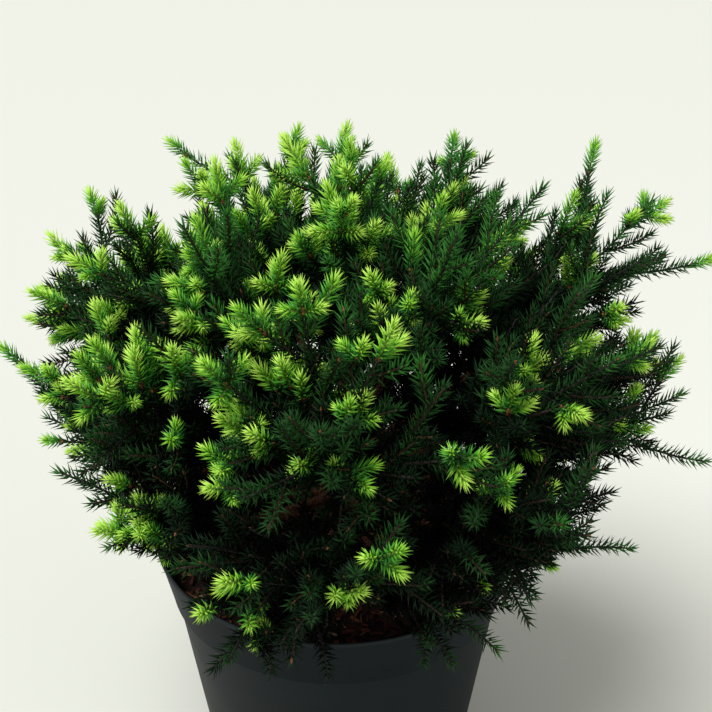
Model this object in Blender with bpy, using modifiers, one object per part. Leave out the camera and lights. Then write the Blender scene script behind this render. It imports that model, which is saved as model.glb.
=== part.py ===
"""A dwarf Norway spruce growing in a plain round nursery pot.

Metres, with +Z up. The origin is the middle of the pot's flat underside and Z is the pot's axis.
The front of the plant faces -Y, so +X is on the right of someone looking at it.

A short leaning trunk stands on the soil. Four tiers of boughs leave it, and each bough carries one
mass of needled shoots. Every mass keeps to its own cone-shaped cell round the crown's heart, so no two
masses meet.
"""

import math
import random

import bmesh
import bpy
import numpy as np
from mathutils import Vector, noise

GAP = 0.0003
WELD = 0.000005

# Pot: a 5 litre moulded nursery pot
POT_HEIGHT = 0.185
RIM_RADIUS = 0.115
RIM_LIP = 0.0022
COLLAR_HEIGHT = 0.0366
COLLAR_FOOT_RADIUS = 0.1076
COLLAR_STEP = 0.0023
BODY_TOP_RADIUS = COLLAR_FOOT_RADIUS - COLLAR_STEP
BASE_RADIUS = 0.085
POT_WALL = 0.0016
POT_FLOOR = 0.0024
POT_SIDES = 44
DRAIN_HOLES = 8
DRAIN_RADIUS = 0.0055
DRAIN_CIRCLE = 0.060

# Soil
SOIL_LEVEL = 0.1685
SOIL_BUMP = 0.0022
SOIL_FLAT = 0.018

# Trunk
TRUNK_TOP = 0.298
TRUNK_FOOT_RADIUS = 0.0090
TRUNK_TIP_RADIUS = 0.0030
ROOT_FLARE = 0.0055
ROOT_FLARE_HEIGHT = 0.007
TRUNK_LEAN = (0.006, -0.005)
TRUNK_BEND = 0.003

# Crown: the cells' common point, the reach of the shoots from it by elevation, and four places where
# the outline swells or is tucked in (azimuth, elevation, spread in degrees, gain in metres)
HEART = np.array((0.0, 0.0, 0.215))
OUTLINE = (
    (-25, 0.138),
    (-12, 0.150),
    (0, 0.180),
    (15, 0.214),
    (30, 0.240),
    (45, 0.242),
    (62, 0.226),
    (90, 0.224),
)
SWELLINGS = ((17, 30, 24, 0.030), (183, 2, 26, -0.022), (-146, 12, 30, -0.038), (-32, 12, 25, -0.026))

# Tiers: name, number of boughs, first azimuth, elevation of the masses, height on the trunk,
# and how far the bough's foot is turned up or down from the straight way to its tip
TIERS = (
    ("skirt", 8, 22.0, -7.0, 0.190, 18.0),
    ("lower", 8, 0.0, 17.0, 0.207, -10.0),
    ("middle", 7, 14.0, 39.0, 0.232, -10.0),
    ("upper", 4, 40.0, 63.0, 0.262, -8.0),
)
TIER_JITTER = 3.0
BOUGH_SHARE = 0.44
BOUGH_FOOT_RADIUS = 0.0032
BOUGH_TIP_RADIUS = 0.0018

# Shoots that the outline is known by: azimuth, elevation and reach
FAR_SHOOTS = (
    (169, 19, 0.228),
    (176, 7, 0.186),
    (-172, -14, 0.150),
    (163, 29, 0.222),
    (151, 42, 0.240),
    (137, 53, 0.238),
    (103, 61, 0.224),
    (84, 60, 0.226),
    (54, 57, 0.230),
    (31, 45, 0.268),
    (20, 36, 0.270),
    (15, 27, 0.276),
    (10, 17, 0.230),
    (1, 3, 0.232),
    (-8, -10, 0.188),
    (-38, -15, 0.146),
    (-52, -13, 0.150),
    (-70, -10, 0.144),
    (-89, -11, 0.143),
    (-116, -12, 0.150),
)

# Shoots: one needled spindle each
SHOOT_COUNT = 132
LOWEST_SHOOT = -15.0
SHOOT_APART = 11.0
TAKEN_BY_STEM = 8.0
LEAVING_ANGLE = 44.0
STEM_RADIUS = 0.0017
TWIG_RADIUS = 0.0014
TWIG_END = 0.0010
BAND = 0.0116
NEEDLE = 0.0125
THIN_PART = 0.55
NEEDLE_LEAN = 46.0
CELL_MARGIN = 0.0002
TIP_FROM_WALL = 0.006
BEND_FROM_WALL = 0.004
LIMB_MARGIN = 0.0006
RIM_MARGIN = 0.0025

# Dark inner core of each mass, as shares of the reach and of the way to the cell's walls
CORE_CENTRE = 0.58
CORE_REACH = 0.80
CORE_FILL = 0.82
CORE_LARGEST = 0.062
CORE_FROM_BOUGH = 0.0025


def clear_scene():
    for item in list(bpy.data.objects):
        bpy.data.objects.remove(item, do_unlink=True)


def new_collection(name, hidden=False):
    collection = bpy.data.collections.new(name)
    bpy.context.scene.collection.children.link(collection)
    collection.hide_render = hidden
    return collection


def finish(name, colour, roughness, metallic=0.0):
    material = bpy.data.materials.new(name)
    material.use_nodes = True
    shader = material.node_tree.nodes["Principled BSDF"]
    shader.inputs["Base Color"].default_value = (*colour, 1.0)
    shader.inputs["Roughness"].default_value = roughness
    shader.inputs["Metallic"].default_value = metallic
    material.diffuse_color = (*colour, 1.0)
    return material


def add_object(name, mesh, collection, material=None):
    item = bpy.data.objects.new(name, mesh)
    collection.objects.link(item)
    if material:
        mesh.materials.clear()
        mesh.materials.append(material)
    return item


def smooth(item, degrees=40.0):
    item.data.shade_smooth()
    item.data.set_sharp_from_angle(angle=math.radians(degrees))


def baked(item):
    """The object's mesh with its modifiers or bevel worked in; the object itself is removed."""
    view = bpy.context.evaluated_depsgraph_get()
    mesh = bpy.data.meshes.new_from_object(item.evaluated_get(view))
    mesh.transform(item.matrix_world)
    data = item.data
    bpy.data.objects.remove(item, do_unlink=True)
    (bpy.data.curves if isinstance(data, bpy.types.Curve) else bpy.data.meshes).remove(data)
    return mesh


def turned(name, profile, sides, collection):
    """A closed body turned round Z from (radius, height) points that start and end on the axis."""
    mesh = bpy.data.meshes.new(name)
    points = [(radius, 0.0, height) for radius, height in profile]
    mesh.from_pydata(points, [(i, i + 1) for i in range(len(points) - 1)], [])
    item = add_object(name, mesh, collection)
    screw = item.modifiers.new("turn", "SCREW")
    screw.axis = "Z"
    screw.angle = math.tau
    screw.steps = screw.render_steps = sides
    screw.use_merge_vertices = True
    screw.merge_threshold = 0.00005
    screw.use_normal_calculate = True
    return item


def tube(name, points, radii, collection, resolution):
    """A tapering round limb along the points, closed at both ends."""
    curve = bpy.data.curves.new(name, "CURVE")
    curve.dimensions = "3D"
    curve.bevel_depth = 1.0
    curve.bevel_resolution = resolution
    curve.use_fill_caps = True
    spline = curve.splines.new("POLY")
    spline.points.add(len(points) - 1)
    for knot, point, radius in zip(spline.points, points, radii):
        knot.co = (*point, 1.0)
        knot.radius = radius
    item = add_object(name, curve, collection)
    bpy.context.view_layer.update()
    mesh = baked(item)
    work = bmesh.new()
    work.from_mesh(mesh)
    bmesh.ops.remove_doubles(work, verts=work.verts, dist=0.00001)
    bmesh.ops.recalc_face_normals(work, faces=work.faces)
    work.to_mesh(mesh)
    work.free()
    return add_object(name, mesh, collection)


def pot_inner_wall(inset):
    """The inside of the pot from rim to floor, moved inwards by the inset."""
    shift = POT_WALL + inset
    shelf = POT_HEIGHT - COLLAR_HEIGHT + POT_WALL + inset
    return [
        (RIM_RADIUS - shift - RIM_LIP * 0.3, POT_HEIGHT - RIM_LIP),
        (COLLAR_FOOT_RADIUS - shift, shelf),
        (BODY_TOP_RADIUS - shift, shelf - 0.0006),
        (BASE_RADIUS - shift + 0.0004, POT_FLOOR + inset),
    ]


def build_pot(collection, cutters):
    """The pot: one moulded wall with a wide plain collar, a rounded rim and a flat pierced floor."""
    collar_foot = POT_HEIGHT - COLLAR_HEIGHT
    half_lip = RIM_LIP / 2
    rim = []
    for degrees in (160, 110, 60, 10, -40):
        around = half_lip * math.cos(math.radians(degrees))
        above = half_lip * math.sin(math.radians(degrees))
        rim.append((RIM_RADIUS - half_lip + around, POT_HEIGHT - half_lip + above))
    outside = [
        (COLLAR_FOOT_RADIUS + 0.0003, collar_foot + 0.0006),
        (COLLAR_FOOT_RADIUS - 0.0004, collar_foot),
        (BODY_TOP_RADIUS, collar_foot),
        (BASE_RADIUS + 0.0012, 0.0020),
        (BASE_RADIUS - 0.0008, 0.0),
        (0.0, 0.0),
    ]
    inside = list(reversed(pot_inner_wall(0.0)))
    pot = turned("pot", [(0.0, POT_FLOOR)] + inside + rim + outside, POT_SIDES, collection)
    pot.data.materials.append(finish("pot_plastic", (0.028, 0.034, 0.040), 0.50))
    for k in range(DRAIN_HOLES):
        angle = math.tau * (k + 0.5) / DRAIN_HOLES
        place = (DRAIN_CIRCLE * math.cos(angle), DRAIN_CIRCLE * math.sin(angle), POT_FLOOR / 2)
        bpy.ops.mesh.primitive_cylinder_add(vertices=12, radius=DRAIN_RADIUS, depth=0.02, location=place)
        cutter = bpy.context.object
        cutter.name = f"drain_cutter_{k + 1}"
        cutter.display_type = "WIRE"
        cutter.hide_render = True
        for owner in list(cutter.users_collection):
            owner.objects.unlink(cutter)
        cutters.objects.link(cutter)
        cut = pot.modifiers.new(f"drain_{k + 1}", "BOOLEAN")
        cut.operation = "DIFFERENCE"
        cut.solver = "EXACT"
        cut.object = cutter
    smooth(pot)
    return pot


def build_soil(collection):
    """The bark-topped potting mix, filling the pot to a low bumpy surface that is flat at the trunk."""
    wall = pot_inner_wall(GAP)
    share = (SOIL_LEVEL - wall[1][1]) / (wall[0][1] - wall[1][1])
    edge = wall[1][0] + share * (wall[0][0] - wall[1][0])
    rings = [SOIL_FLAT + (edge - 0.003 - SOIL_FLAT) * k / 3 for k in range(4)]
    top = [(ring, SOIL_LEVEL) for ring in [0.0, *rings]] + [(edge - 0.0010, SOIL_LEVEL - 0.0030)]
    body = turned("soil", top + wall[1:] + [(0.0, POT_FLOOR + GAP)], POT_SIDES, collection)
    bpy.context.view_layer.update()
    mesh = baked(body)
    for vertex in mesh.vertices:
        radius = math.hypot(vertex.co.x, vertex.co.y)
        if vertex.co.z > SOIL_LEVEL - 0.0001 and radius > SOIL_FLAT * 1.02:
            vertex.co.z += SOIL_BUMP * noise.noise(vertex.co * 70.0)
    soil = add_object("soil", mesh, collection, finish("bark_mulch", (0.060, 0.030, 0.018), 0.95))
    smooth(soil, 60.0)
    return soil


def trunk_at(height):
    """The trunk's middle and radius at a height above the pot's underside."""
    foot = SOIL_LEVEL + GAP
    share = (height - foot) / (TRUNK_TOP - foot)
    sway = TRUNK_BEND * math.sin(math.pi * share)
    middle = np.array((TRUNK_LEAN[0] * share - sway, TRUNK_LEAN[1] * share + 0.5 * sway, height))
    radius = TRUNK_FOOT_RADIUS + (TRUNK_TIP_RADIUS - TRUNK_FOOT_RADIUS) * share
    flare = ROOT_FLARE * math.exp(-(height - foot) / ROOT_FLARE_HEIGHT)
    return middle, radius + flare


def trunk_line():
    foot = SOIL_LEVEL + GAP
    heights = [foot, foot + 0.003, foot + 0.007, foot + 0.013]
    heights += [foot + 0.022 + (TRUNK_TOP - foot - 0.022) * k / 7 for k in range(8)]
    return zip(*(trunk_at(height) for height in heights))


def build_trunk(collection):
    """The single trunk, leaning and tapering from its root flare to the tip inside the crown."""
    points, radii = trunk_line()
    trunk = tube("trunk", points, radii, collection, 6)
    for vertex in trunk.data.vertices:
        if vertex.co.z < SOIL_LEVEL + GAP + 0.0015:
            vertex.co.z = SOIL_LEVEL + GAP
    trunk.data.materials.append(finish("trunk_bark", (0.110, 0.066, 0.045), 0.85))
    smooth(trunk)
    return trunk


def heading(azimuth, elevation):
    a = math.radians(azimuth)
    e = math.radians(elevation)
    return np.array((math.cos(a) * math.cos(e), math.sin(a) * math.cos(e), math.sin(e)))


def unit(vector):
    return vector / np.linalg.norm(vector)


def degrees_between(a, b):
    return math.degrees(math.acos(max(-1.0, min(1.0, float(np.dot(a, b))))))


def reach(direction):
    """How far the crown reaches from its heart in a direction."""
    elevation = math.degrees(math.asin(max(-1.0, min(1.0, direction[2]))))
    distance = float(np.interp(elevation, *zip(*OUTLINE)))
    for azimuth, height, spread, gain in SWELLINGS:
        away = degrees_between(direction, heading(azimuth, height))
        distance += gain * math.exp(-((away / spread) ** 2))
    return distance


def bezier(start, control, end, count=49):
    t = np.linspace(0.0, 1.0, count)[:, None]
    return (1 - t) ** 2 * start + 2 * t * (1 - t) * control + t**2 * end


def lengths_along(line):
    return np.concatenate(([0.0], np.cumsum(np.linalg.norm(np.diff(line, axis=0), axis=1))))


def cut_line(line, start, end, count):
    """Evenly spaced points of a line between two distances along it."""
    along = lengths_along(line)
    at = np.linspace(start, end, count)
    return np.stack([np.interp(at, along, line[:, axis]) for axis in range(3)], axis=1)


class Mass:
    """One mass of foliage: its direction from the heart, its bough and its stem."""

    def __init__(self, tier, number, direction, height, turn_up):
        self.tier = tier
        self.number = number
        self.direction = direction
        self.height = height
        self.turn_up = turn_up
        self.tip = HEART + direction * reach(direction) * 0.97
        self.tips = []
        self.bough = None
        self.stem = None

    def lay_limbs(self):
        """Runs one curve from the trunk to the tip: its first part is the bough and the rest the stem."""
        middle, radius = trunk_at(min(self.height, TRUNK_TOP))
        if self.tier == "leader":
            start = middle + np.array((0.0, 0.0, GAP))
            self.stem = bezier(start, (start + self.tip) / 2 + np.array((0.004, 0.002, 0.0)), self.tip)
            return
        flat = unit(self.direction * (1, 1, 0))
        way = self.tip - middle
        pitch = math.atan2(way[2], float(np.dot(way, flat))) + math.radians(self.turn_up)
        leave = flat * math.cos(pitch) + np.array((0.0, 0.0, math.sin(pitch)))
        start = middle + flat * (radius + GAP + BOUGH_FOOT_RADIUS * abs(math.sin(pitch)))
        line = bezier(start, start + leave * np.linalg.norm(way) * 0.45, self.tip)
        total = lengths_along(line)[-1]
        self.bough = cut_line(line, 0.0, total * BOUGH_SHARE, 5)
        self.stem = cut_line(line, total * BOUGH_SHARE + GAP, total, 33)


def plan_masses():
    """Places the masses tier by tier round the trunk, with the leader's mass on top."""
    chance = random.Random(41)
    masses = []
    for tier, count, first, elevation, height, turn_up in TIERS:
        for k in range(count):
            azimuth = first + 360.0 * k / count + chance.uniform(-TIER_JITTER, TIER_JITTER)
            direction = heading(azimuth, elevation + chance.uniform(-1.5, 1.5))
            masses.append(Mass(tier, k + 1, direction, height, turn_up))
    masses.append(Mass("leader", 1, heading(20.0, 87.5), TRUNK_TOP, 0.0))
    for azimuth, elevation, distance in FAR_SHOOTS:
        direction = heading(azimuth, elevation)
        owner = max(masses, key=lambda mass: float(np.dot(mass.direction, direction)))
        if degrees_between(owner.direction, direction) < TAKEN_BY_STEM and not owner.tips:
            owner.tip = HEART + direction * distance
        else:
            owner.tips.append(HEART + direction * distance)
    for mass in masses:
        mass.lay_limbs()
    deal_tips(masses, chance)
    return masses


def deal_tips(masses, chance):
    """Spreads the shoots' tips evenly over the crown and gives each to the mass whose cell holds it."""
    taken = [unit(tip - HEART) for mass in masses for tip in [mass.tip, *mass.tips]]
    lowest = math.sin(math.radians(LOWEST_SHOOT))
    for k in range(SHOOT_COUNT):
        height = 1.0 - (k + 0.5) * (1.0 - lowest) / SHOOT_COUNT
        azimuth = 137.508 * k + chance.uniform(-4.0, 4.0)
        direction = heading(azimuth, math.degrees(math.asin(height)))
        if min(degrees_between(direction, other) for other in taken) < SHOOT_APART:
            continue
        owner = max(masses, key=lambda mass: float(np.dot(mass.direction, direction)))
        owner.tips.append(HEART + direction * reach(direction) * chance.uniform(0.90, 1.0))
        taken.append(direction)


class Space:
    """Where a mass may grow: inside its own cell, off the pot and clear of every limb."""

    def __init__(self, mass, masses):
        walls = [mass.direction - other.direction for other in masses if other is not mass]
        self.walls = np.array([unit(wall) for wall in walls])
        starts, ends, widths = [], [], []
        points, radii = trunk_line()
        limbs = [(np.array(points), np.array(radii))]
        for other in masses:
            if other.bough is not None:
                limbs.append((other.bough, np.full(len(other.bough), BOUGH_FOOT_RADIUS)))
        for line, thick in limbs:
            starts.append(line[:-1])
            ends.append(line[1:])
            widths.append(thick[:-1])
        self.starts = np.concatenate(starts)
        self.spans = np.concatenate(ends) - self.starts
        self.widths = np.concatenate(widths)

    def inside_cell(self, points, thick):
        return float(((points - HEART) @ self.walls.T).min()) >= thick + CELL_MARGIN

    def moved_in(self, point, margin):
        """The point, moved away from any wall that is nearer than the margin."""
        for _ in range(4):
            for wall in self.walls:
                point = point + wall * max(0.0, margin - float(np.dot(wall, point - HEART)))
        return point

    def off_pot(self, points, thick):
        radius = np.hypot(points[:, 0], points[:, 1])
        low = points[:, 2] < POT_HEIGHT + RIM_MARGIN + thick
        return not bool((low & (radius < RIM_RADIUS + RIM_MARGIN + thick)).any())

    def off_limbs(self, points, thick):
        away = points[:, None, :] - self.starts[None]
        share = (away * self.spans).sum(-1) / (self.spans**2).sum(-1)
        nearest = away - np.clip(share, 0.0, 1.0)[..., None] * self.spans
        room = np.linalg.norm(nearest, axis=-1) - self.widths
        return float(room.min()) >= thick + LIMB_MARGIN

    def holds(self, points, thick):
        free = self.inside_cell(points, thick) and self.off_pot(points, thick)
        return free and self.off_limbs(points, thick)


def shoot_line(stem, tip, space):
    """A shoot leaves the stem where the way to its tip makes the leaving angle, then bends forward."""
    tip = space.moved_in(tip, TIP_FROM_WALL)
    ahead = np.gradient(stem, axis=0)
    ahead /= np.linalg.norm(ahead, axis=1)[:, None]
    way = tip - stem
    distance = np.linalg.norm(way, axis=1)
    cosine = (way * ahead).sum(axis=1) / distance
    choice = np.abs(cosine - math.cos(math.radians(LEAVING_ANGLE)))
    choice[: len(stem) // 12] = 9.0
    choice[-len(stem) // 8 :] = 9.0
    k = int(np.argmin(choice))
    side = unit(way[k] - ahead[k] * float(np.dot(way[k], ahead[k])))
    bend = space.moved_in(stem[k] + way[k] * 0.5 + side * distance[k] * 0.13, BEND_FROM_WALL)
    if math.hypot(bend[0], bend[1]) < RIM_RADIUS + 0.012:
        bend[2] = max(bend[2], POT_HEIGHT + 0.010)
    return bezier(stem[k], bend, tip)


def ring_frame(ahead, last_side):
    side = unit(last_side - ahead * float(np.dot(last_side, ahead)))
    return side, np.cross(ahead, side)


def spindle(line, start_radius, end_radius, space, covered):
    """A closed three-sided twig whose faces are drawn out into needles, up to its pointed tip.

    Faces covered by the core stay plain, and so does a face whose needle would leave the space.
    Near the twig's foot every second face stays plain too, as the older needles stand thinner.
    """
    total = lengths_along(line)[-1]
    bands = max(2, round(total / BAND))
    rings = cut_line(line, 0.0, total * (1 - 0.6 / bands), bands)
    ahead = np.gradient(rings, axis=0)
    ahead /= np.linalg.norm(ahead, axis=1)[:, None]
    work = bmesh.new()
    side = np.cross(ahead[0], (0.31, 0.77, 0.55))
    loops = []
    for k, centre in enumerate(rings):
        side, up = ring_frame(ahead[k], side)
        radius = start_radius + (end_radius - start_radius) * k / (bands - 1)
        loop = []
        for j in range(3):
            angle = math.tau * j / 3 + (math.pi / 3) * (k % 2)
            loop.append(work.verts.new(centre + radius * (math.cos(angle) * side + math.sin(angle) * up)))
        loops.append(loop)
    point = work.verts.new(line[-1])
    work.faces.new(list(reversed(loops[0])))
    drawn = []
    for k, (low, high) in enumerate(zip(loops, loops[1:])):
        for j in range(3):
            after = (j + 1) % 3
            above = high[(j + k % 2) % 3]
            above_after = high[(after + k % 2) % 3]
            drawn.append((k, work.faces.new((low[j], low[after], above))))
            drawn.append((k, work.faces.new((low[after], above_after, above))))
    for j in range(3):
        work.faces.new((loops[-1][j], loops[-1][(j + 1) % 3], point))
    lean = math.radians(NEEDLE_LEAN)
    for number, (k, face) in enumerate(drawn):
        middle = np.array(face.calc_center_median())
        if covered(middle) or (k < THIN_PART * bands and number % 2):
            continue
        centre = (rings[k] + rings[k + 1]) / 2
        out = unit((middle - centre) - ahead[k] * float(np.dot(middle - centre, ahead[k])))
        end = middle + NEEDLE * (out * math.sin(lean) + ahead[k] * math.cos(lean))
        spine = np.linspace(middle, end, 5)
        if space.holds(spine[1:], 0.0):
            poked = bmesh.ops.poke(work, faces=[face])
            poked["verts"][0].co = Vector(end)
    bmesh.ops.recalc_face_normals(work, faces=work.faces)
    return work


def core_limit(mass, space, centre, way):
    """How far the core may bulge from its centre along a way."""
    rates = -(space.walls @ way)
    rooms = space.walls @ (centre - HEART)
    limit = min([CORE_LARGEST, *(CORE_FILL * rooms[rates > 0.001] / rates[rates > 0.001])])
    ahead = unit(mass.stem[1] - mass.stem[0])
    back = -float(np.dot(way, ahead))
    if back > 0.001:
        limit = min(limit, (float(np.dot(centre - mass.stem[0], ahead)) - CORE_FROM_BOUGH) / back)
    if way[2] < -0.001:
        limit = min(limit, (centre[2] - POT_HEIGHT - 0.004) / -way[2])
    while limit > 0.004:
        offset = centre + way * limit - HEART
        if np.linalg.norm(offset) < CORE_REACH * reach(unit(offset)):
            break
        limit *= 0.94
    return limit


def build_core(mass, space):
    """The dense inside of a mass: a lumpy ball fitted to the cell, which the shoots stand out of."""
    chance = random.Random(f"{mass.tier}{mass.number}")
    centre = HEART + mass.direction * reach(mass.direction) * CORE_CENTRE
    if mass.tier == "skirt":
        centre[2] = max(centre[2], POT_HEIGHT + 0.013)
    work = bmesh.new()
    bmesh.ops.create_icosphere(work, subdivisions=2, radius=1.0)
    for vertex in work.verts:
        way = np.array(vertex.co.normalized())
        vertex.co = Vector(centre + way * core_limit(mass, space, centre, way) * chance.uniform(0.90, 1.0))
    shell = [(face.calc_center_median(), face.normal.copy()) for face in work.faces]

    def covered(point):
        return all((Vector(point) - place).dot(normal) < 0.002 for place, normal in shell)

    return work, covered


def to_object(work, name, collection):
    mesh = bpy.data.meshes.new(name)
    work.to_mesh(mesh)
    work.free()
    return add_object(name, mesh, collection)


def shells_of(work):
    """The connected groups of faces."""
    left = set(work.faces)
    while left:
        group = {left.pop()}
        edge_of = list(group)
        while edge_of:
            face = edge_of.pop()
            for edge in face.edges:
                for other in edge.link_faces:
                    if other in left:
                        left.remove(other)
                        group.add(other)
                        edge_of.append(other)
        yield group


def volume_of(faces):
    total = 0.0
    for face in faces:
        corners = [loop.vert.co for loop in face.loops]
        for a, b in zip(corners[1:-1], corners[2:]):
            total += corners[0].dot(a.cross(b)) / 6.0
    return total


def fuse(host, twigs, solver):
    """Joins a collection of twigs to the core and keeps the outer shell; sealed hollows are filled."""
    join = host.modifiers.new("join", "BOOLEAN")
    join.operation = "UNION"
    join.operand_type = "COLLECTION"
    join.collection = twigs
    join.solver = solver
    bpy.context.view_layer.update()
    view = bpy.context.evaluated_depsgraph_get()
    mesh = bpy.data.meshes.new_from_object(host.evaluated_get(view))
    host.modifiers.remove(join)
    work = bmesh.new()
    work.from_mesh(mesh)
    bpy.data.meshes.remove(mesh)
    bmesh.ops.triangulate(work, faces=work.faces)
    bmesh.ops.remove_doubles(work, verts=work.verts, dist=WELD)
    bmesh.ops.dissolve_degenerate(work, dist=WELD, edges=work.edges)
    bmesh.ops.triangulate(work, faces=work.faces)
    outer = max(shells_of(work), key=volume_of)
    bmesh.ops.delete(work, geom=[face for face in work.faces if face not in outer], context="FACES")
    return work


def fused(host, twigs):
    """The joined body, by whichever solver closes it; a mass that neither closes loses a shoot."""
    while True:
        for solver in ("EXACT", "MANIFOLD"):
            work = fuse(host, twigs, solver)
            if all(piece.is_manifold for piece in [*work.edges, *work.verts]):
                return work
            work.free()
        last = twigs.objects[-1]
        bpy.data.objects.remove(last, do_unlink=True)


def build_mass(mass, masses, collection, material):
    """One foliage mass: its core, its stem and its shoots, fused into one body."""
    name = f"foliage_{mass.tier}_{mass.number}"
    space = Space(mass, masses)
    core, covered = build_core(mass, space)
    host = to_object(core, name, collection)
    twigs = new_collection(f"{name}_twigs")
    to_object(spindle(mass.stem, STEM_RADIUS, TWIG_END, space, covered), "stem", twigs)
    for k, tip in enumerate(mass.tips):
        line = shoot_line(mass.stem, tip, space)
        if space.holds(line[8:-1:2], TWIG_RADIUS):
            to_object(spindle(line, TWIG_RADIUS, TWIG_END, space, covered), f"shoot_{k + 1}", twigs)
    work = fused(host, twigs)
    for item in list(twigs.objects):
        bpy.data.objects.remove(item, do_unlink=True)
    bpy.data.collections.remove(twigs)
    work.to_mesh(host.data)
    work.free()
    host.data.materials.clear()
    host.data.materials.append(material)
    smooth(host, 30.0)
    return host


def build_bough(mass, collection):
    """One bough: a tapering limb from just clear of the trunk to the foot of its mass's stem."""
    radii = np.linspace(BOUGH_FOOT_RADIUS, BOUGH_TIP_RADIUS, len(mass.bough))
    bough = tube(f"bough_{mass.tier}_{mass.number}", mass.bough, radii, collection, 1)
    bark = finish(f"bough_bark_{mass.tier}_{mass.number}", (0.125, 0.070, 0.045), 0.85)
    bough.data.materials.append(bark)
    smooth(bough, 50.0)
    return bough


def main():
    clear_scene()
    spruce = new_collection("potted_dwarf_spruce")
    cutters = new_collection("cutters", hidden=True)
    build_pot(spruce, cutters)
    build_soil(spruce)
    build_trunk(spruce)
    masses = plan_masses()
    for mass in masses:
        if mass.bough is not None:
            build_bough(mass, spruce)
    shades = {"skirt": 0.7, "lower": 0.85, "middle": 1.0, "upper": 1.15, "leader": 1.25}
    for mass in masses:
        shade = shades[mass.tier]
        green = (0.030 * shade, 0.105 * shade, 0.022 * shade)
        build_mass(mass, masses, spruce, finish(f"needles_{mass.tier}_{mass.number}", green, 0.55))


main()
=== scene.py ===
"""A dwarf Norway spruce in its nursery pot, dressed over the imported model.

Metres, with +Z up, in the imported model's own frame: the origin is the middle of the pot's underside and
the plant's front faces -Y. The sections follow the plant as it stands: pot, potting mix, trunk, boughs,
twigs, needles, new shoots and buds.
"""

import math
import random

import bmesh
import bpy
import numpy as np
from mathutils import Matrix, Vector, noise


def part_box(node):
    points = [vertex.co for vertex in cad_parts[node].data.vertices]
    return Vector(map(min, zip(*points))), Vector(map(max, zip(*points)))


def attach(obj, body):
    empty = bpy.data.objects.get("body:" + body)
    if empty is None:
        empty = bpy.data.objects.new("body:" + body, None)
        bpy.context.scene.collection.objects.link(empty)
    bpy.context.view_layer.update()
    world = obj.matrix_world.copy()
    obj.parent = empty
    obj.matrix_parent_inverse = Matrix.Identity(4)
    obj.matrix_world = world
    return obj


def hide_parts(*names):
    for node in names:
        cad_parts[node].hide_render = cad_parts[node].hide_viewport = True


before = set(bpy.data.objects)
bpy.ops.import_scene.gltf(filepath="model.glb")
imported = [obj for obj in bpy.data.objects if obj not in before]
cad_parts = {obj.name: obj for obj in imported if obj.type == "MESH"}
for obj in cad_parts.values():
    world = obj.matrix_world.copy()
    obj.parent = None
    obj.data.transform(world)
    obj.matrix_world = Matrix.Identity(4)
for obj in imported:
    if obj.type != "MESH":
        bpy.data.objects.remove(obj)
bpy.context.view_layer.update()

# Pot
# A round five litre nursery pot, injection moulded in charcoal polypropylene with a fine spark-eroded
# grain. A wide plain collar stiffens the rim, and eight drain holes go through its flat floor.
pot_low, pot_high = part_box("pot")
POT_HEIGHT = pot_high.z
RIM_RADIUS = pot_high.x
COLLAR_HEIGHT = 0.0366
COLLAR_FOOT_RADIUS = 0.1076
BODY_TOP_RADIUS = 0.1053
BASE_RADIUS = 0.085
POT_WALL = 0.0016
POT_FLOOR = 0.0024
RIM_LIP = 0.0022
DRAIN_HOLES = 8
DRAIN_RADIUS = 0.0055
DRAIN_CIRCLE = 0.060


def linear(code):
    """A six-digit sRGB colour as the linear colour that a shader takes."""
    values = [int(code[i : i + 2], 16) / 255 for i in (0, 2, 4)]
    return (*(v / 12.92 if v <= 0.04045 else ((v + 0.055) / 1.055) ** 2.4 for v in values), 1.0)


def add_node(material, kind, inputs=None, **settings):
    """Adds a shader node; an input is a value, or another node's output to link."""
    made = material.node_tree.nodes.new(kind)
    for name, value in settings.items():
        setattr(made, name, value)
    for name, value in (inputs or {}).items():
        if isinstance(value, bpy.types.NodeSocket):
            material.node_tree.links.new(value, made.inputs[name])
        else:
            made.inputs[name].default_value = value
    return made


def shaded(name, code, roughness, ior=1.5):
    """A material with one plain colour, and its Principled shader."""
    material = bpy.data.materials.new(name)
    material.use_nodes = True
    shader = material.node_tree.nodes["Principled BSDF"]
    shader.inputs["Base Color"].default_value = linear(code)
    shader.inputs["Roughness"].default_value = roughness
    shader.inputs["IOR"].default_value = ior
    material.diffuse_color = linear(code)
    return material, shader


def graded(material, factor, stops):
    """A colour ramp's output over the factor, from (position, colour) stops."""
    ramp = add_node(material, "ShaderNodeValToRGB", {"Fac": factor})
    points = ramp.color_ramp.elements
    while len(points) < len(stops):
        points.new(0.5)
    for point, (position, code) in zip(points, stops):
        point.position = position
        point.color = linear(code)
    return ramp.outputs["Color"]


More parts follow.
